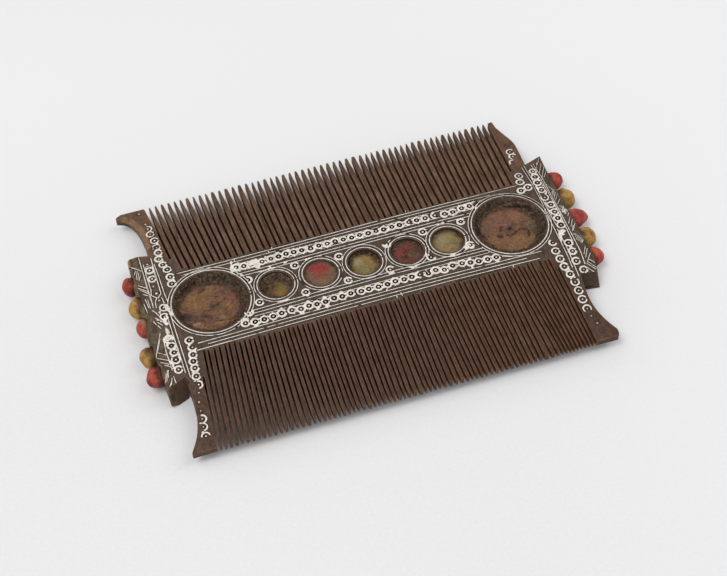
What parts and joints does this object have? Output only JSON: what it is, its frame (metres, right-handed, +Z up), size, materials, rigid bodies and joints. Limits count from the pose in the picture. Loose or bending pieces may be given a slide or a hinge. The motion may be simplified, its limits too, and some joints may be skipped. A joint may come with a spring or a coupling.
{
  "type": "carved wooden comb",
  "caption": "Double-sided carved wooden comb with coarse and fine teeth, horned end teeth, round recesses with coloured fills and bead-studded end blocks.",
  "frame": {"origin": "middle of the flat underside, at the centre of the comb's box", "axes": "+X along the spine, +Y towards the coarse teeth, +Z up through the decorated face"},
  "size_m": [0.1836, 0.1196, 0.012],
  "materials": {
    "wood": "dark brown close-grained hardwood, hand cut, worn and oiled by use, with white filler in its scribed lines and ring-and-dot marks",
    "white_fill": "chalky white filler pressed into scribed lines, chipped in places",
    "putty": "old crumbly dark resin putty, matt and rough",
    "inlay_residue": "olive brown residue of a lost fill, rough, with an orange spot",
    "inlay_red": "wax-like red fill, half faded to brown pink, dull and pitted",
    "inlay_ochre": "wax-like ochre olive fill, dull and pitted",
    "inlay_dark_red": "wax-like dark red fill, dished and dark at its middle",
    "inlay_pale": "wax-like pale olive yellow fill, smooth and slightly shiny",
    "bead_red": "hand-shaped dull red bead, faintly mottled, with a soft sheen",
    "bead_yellow": "hand-shaped ochre yellow bead, faintly mottled, with a soft sheen"
  },
  "bodies": {
    "root": {"comb_body": "wood", "putty_left": "putty", "putty_right": "putty", "inlay_1": "inlay_residue", "inlay_2": "inlay_red", "inlay_3": "inlay_ochre", "inlay_4": "inlay_dark_red", "inlay_5": "inlay_pale", "bead_left_1": "bead_red", "bead_left_2": "bead_yellow", "bead_left_3": "bead_red", "bead_left_4": "bead_yellow", "bead_left_5": "bead_red", "bead_right_1": "bead_red", "bead_right_2": "bead_yellow", "bead_right_3": "bead_red", "bead_right_4": "bead_yellow", "bead_right_5": "bead_red"}
  },
  "joints": []
}
